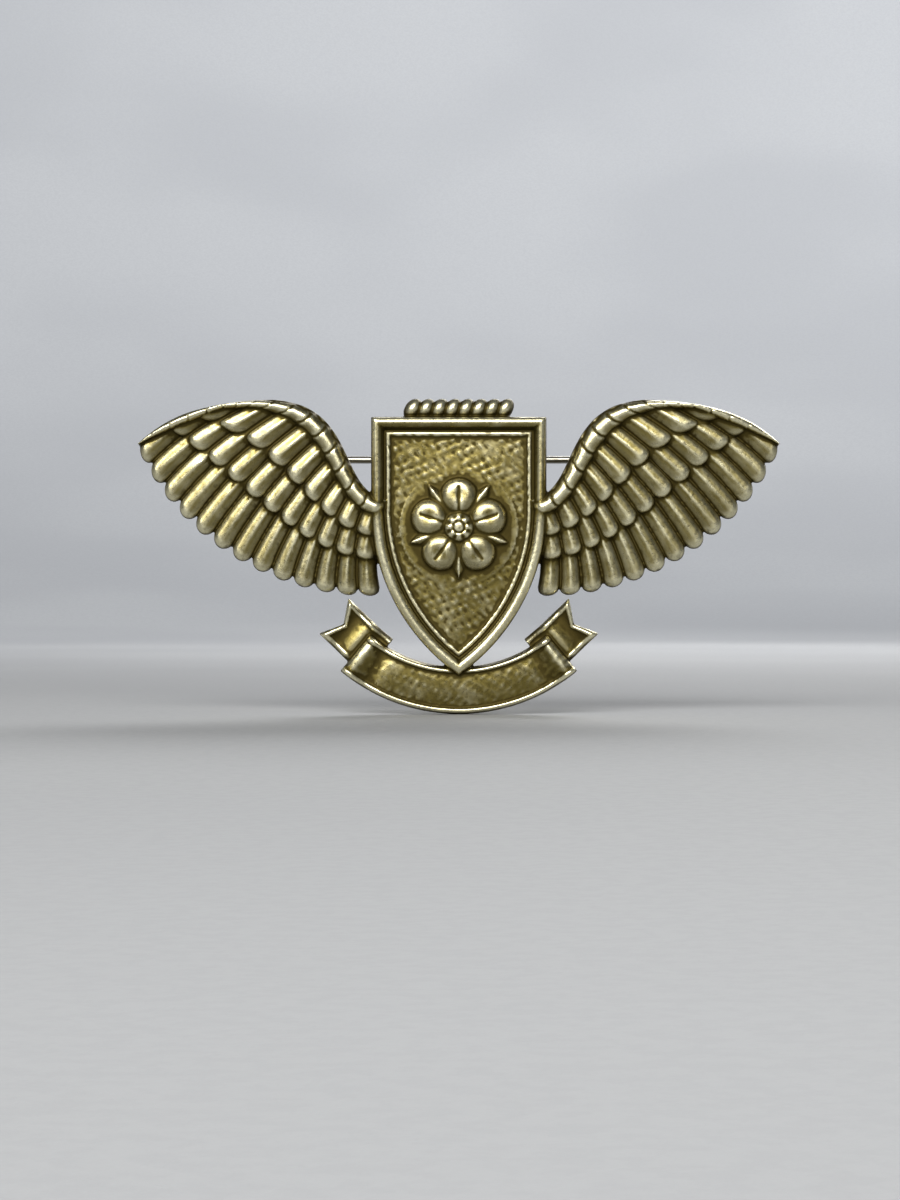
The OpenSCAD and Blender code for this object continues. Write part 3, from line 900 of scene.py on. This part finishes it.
pin = mesh_piece("pin_wire_drawn", on_axis(wire_points, hinge_axis), wire_faces)
pin.data.materials.append(wire_grey())
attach(pin, "pin")
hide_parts("pin_stem")

# ---- Catch base ----
# Stamped and rolled from the same brass sheet: a soldered foot, a neck, and an open ring with two
# small lugs that stop the roller's tab.

eased("catch_base_stamping", "catch_base", 0.06, stamped, "badge")

# ---- Catch roller ----
# A turned brass sleeve that revolves in the ring, with a slot the pin drops into and a flange at
# each end. The thumb tab is brazed to the outer flange and is ribbed for grip.

roller_half = roller_axis.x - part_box("catch_roller")[0].x / MM
bore_r, barrel_r, flange_r, slot_half = 0.65, 1.3, 1.65, 0.6
flange_t, tab_reach, tab_half, tab_corner, tab_rest = 0.4, 3.4, 0.65, 0.4, math.radians(-70)


def roller_brass():
    """Turned brass: fine rings round its axis, worn bright where a thumb works it."""
    paint = Paint("roller_brass")
    turn = paint.noise(1500, 3, 0.55, (1, 0.15, 0.15))
    tarnish = paint.noise(420, 4, 0.6)
    brass = paint.blend(paint.ramp(turn, 0.35, 0.65), (0.38, 0.295, 0.1), (0.54, 0.44, 0.185))
    worn = paint.blend(paint.attribute("thumbed"), brass, (0.8, 0.7, 0.38))
    stain = paint.ramp(tarnish, 0.5, 0.7, 0, 0.55)
    return paint.finish(base_color=paint.blend(stain, worn, (0.14, 0.09, 0.03)), metallic=0.97,
                        roughness=paint.ramp(turn, 0.3, 0.7, 0.2, 0.36),
                        normal=paint.bump(turn, 0.00003, 0.5))


def slotted_sleeve(profile, steps=84):
    """A turning about X with a parallel slot facing +Y, from closed (along, radius) pairs."""
    points, faces, count = [], [], len(profile)
    for i in range(steps + 1):
        for along, r in profile:
            start = math.asin(slot_half / r)
            lean = start + (2 * math.pi - 2 * start) * i / steps
            points.append((along, r * math.cos(lean), r * math.sin(lean)))
        for k in range(count if i else 0):
            a, b, after = (i - 1) * count, i * count, (k + 1) % count
            faces.append((a + k, a + after, b + after, b + k))
    return points, faces + [tuple(range(count)), tuple(range(steps * count, (steps + 1) * count))]


def thumb_tab(face):
    """The tab's outline across its length, lofted through its thickness, with ribs on its outer face."""
    corner_at, corner_w = tab_reach - tab_corner, -tab_half + tab_corner
    outline = [(0.87, -tab_half * 0.8), (1.5, -tab_half), (corner_at, -tab_half)]
    for a in (math.radians(15 * i) for i in range(1, 7)):
        outline.append((corner_at + tab_corner * math.sin(a), corner_w - tab_corner * math.cos(a)))
    outline += [(r, -w) for r, w in reversed(outline)]
    middle_r = sum(r for r, _ in outline) / len(outline)
    points, count = [], len(outline)
    for along, draw in ((face, 0.93), (face + 0.05, 1.0), (face + 0.45, 1.0), (face + 0.5, 0.93)):
        points += [(along, middle_r + (r - middle_r) * draw, w * draw) for r, w in outline]
    faces = [tuple(range(count)), tuple(range(3 * count, 4 * count))]
    for a in range(0, 3 * count, count):
        for k in range(count):
            after = (k + 1) % count
            faces.append((a + k, a + after, a + count + after, a + count + k))
    for r in (2.1, 2.45, 2.8):
        start = len(points)
        for w, swell in ((-0.48, 0.3), (-0.4, 1), (0.4, 1), (0.48, 0.3)):
            for i in range(7):
                a = math.pi * i / 6
                points.append((face + 0.47 + 0.12 * swell * math.sin(a), r + 0.11 * swell * math.cos(a), w))
        for row in range(3):
            for i in range(7):
                a, after = start + row * 7 + i, start + row * 7 + (i + 1) % 7
                faces.append((a, after, after + 7, a + 7))
        faces += [tuple(range(start, start + 7)), tuple(range(start + 21, start + 28))]
    across, down = math.cos(tab_rest), math.sin(tab_rest)
    return [(along, r * across - w * down, r * down + w * across) for along, r, w in points], faces


outer, inner, chamfer, root = roller_half, roller_half - flange_t, 0.05, 0.02
half_section = [(outer - chamfer, bore_r), (outer, bore_r + chamfer), (outer, flange_r - chamfer),
                (outer - chamfer, flange_r), (inner + chamfer, flange_r), (inner, flange_r - chamfer),
                (inner, barrel_r + root), (inner - root, barrel_r)]
section = half_section + [(-along, r) for along, r in reversed(half_section)]
sleeve_points, sleeve_faces = slotted_sleeve(section)
tab_points, tab_faces = thumb_tab(inner + 0.03)
first = len(sleeve_points)
roller_points = [Vector(p) + roller_axis for p in sleeve_points + tab_points]
roller_faces = sleeve_faces + [tuple(n + first for n in face) for face in tab_faces]
roller = mesh_piece("catch_roller_turned", roller_points, roller_faces)
thumbed = np.zeros(len(roller_points))
thumbed[first:] = [min(1.0, max(0.0, (math.hypot(y, z) - 1.6) / 1.2)) for _, y, z in tab_points]
store(roller.data, "thumbed", thumbed)
roller.modifiers.new("flat_faces_stay_flat", "WEIGHTED_NORMAL")
roller.data.materials.append(roller_brass())
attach(roller, "roller")
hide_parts("catch_roller")
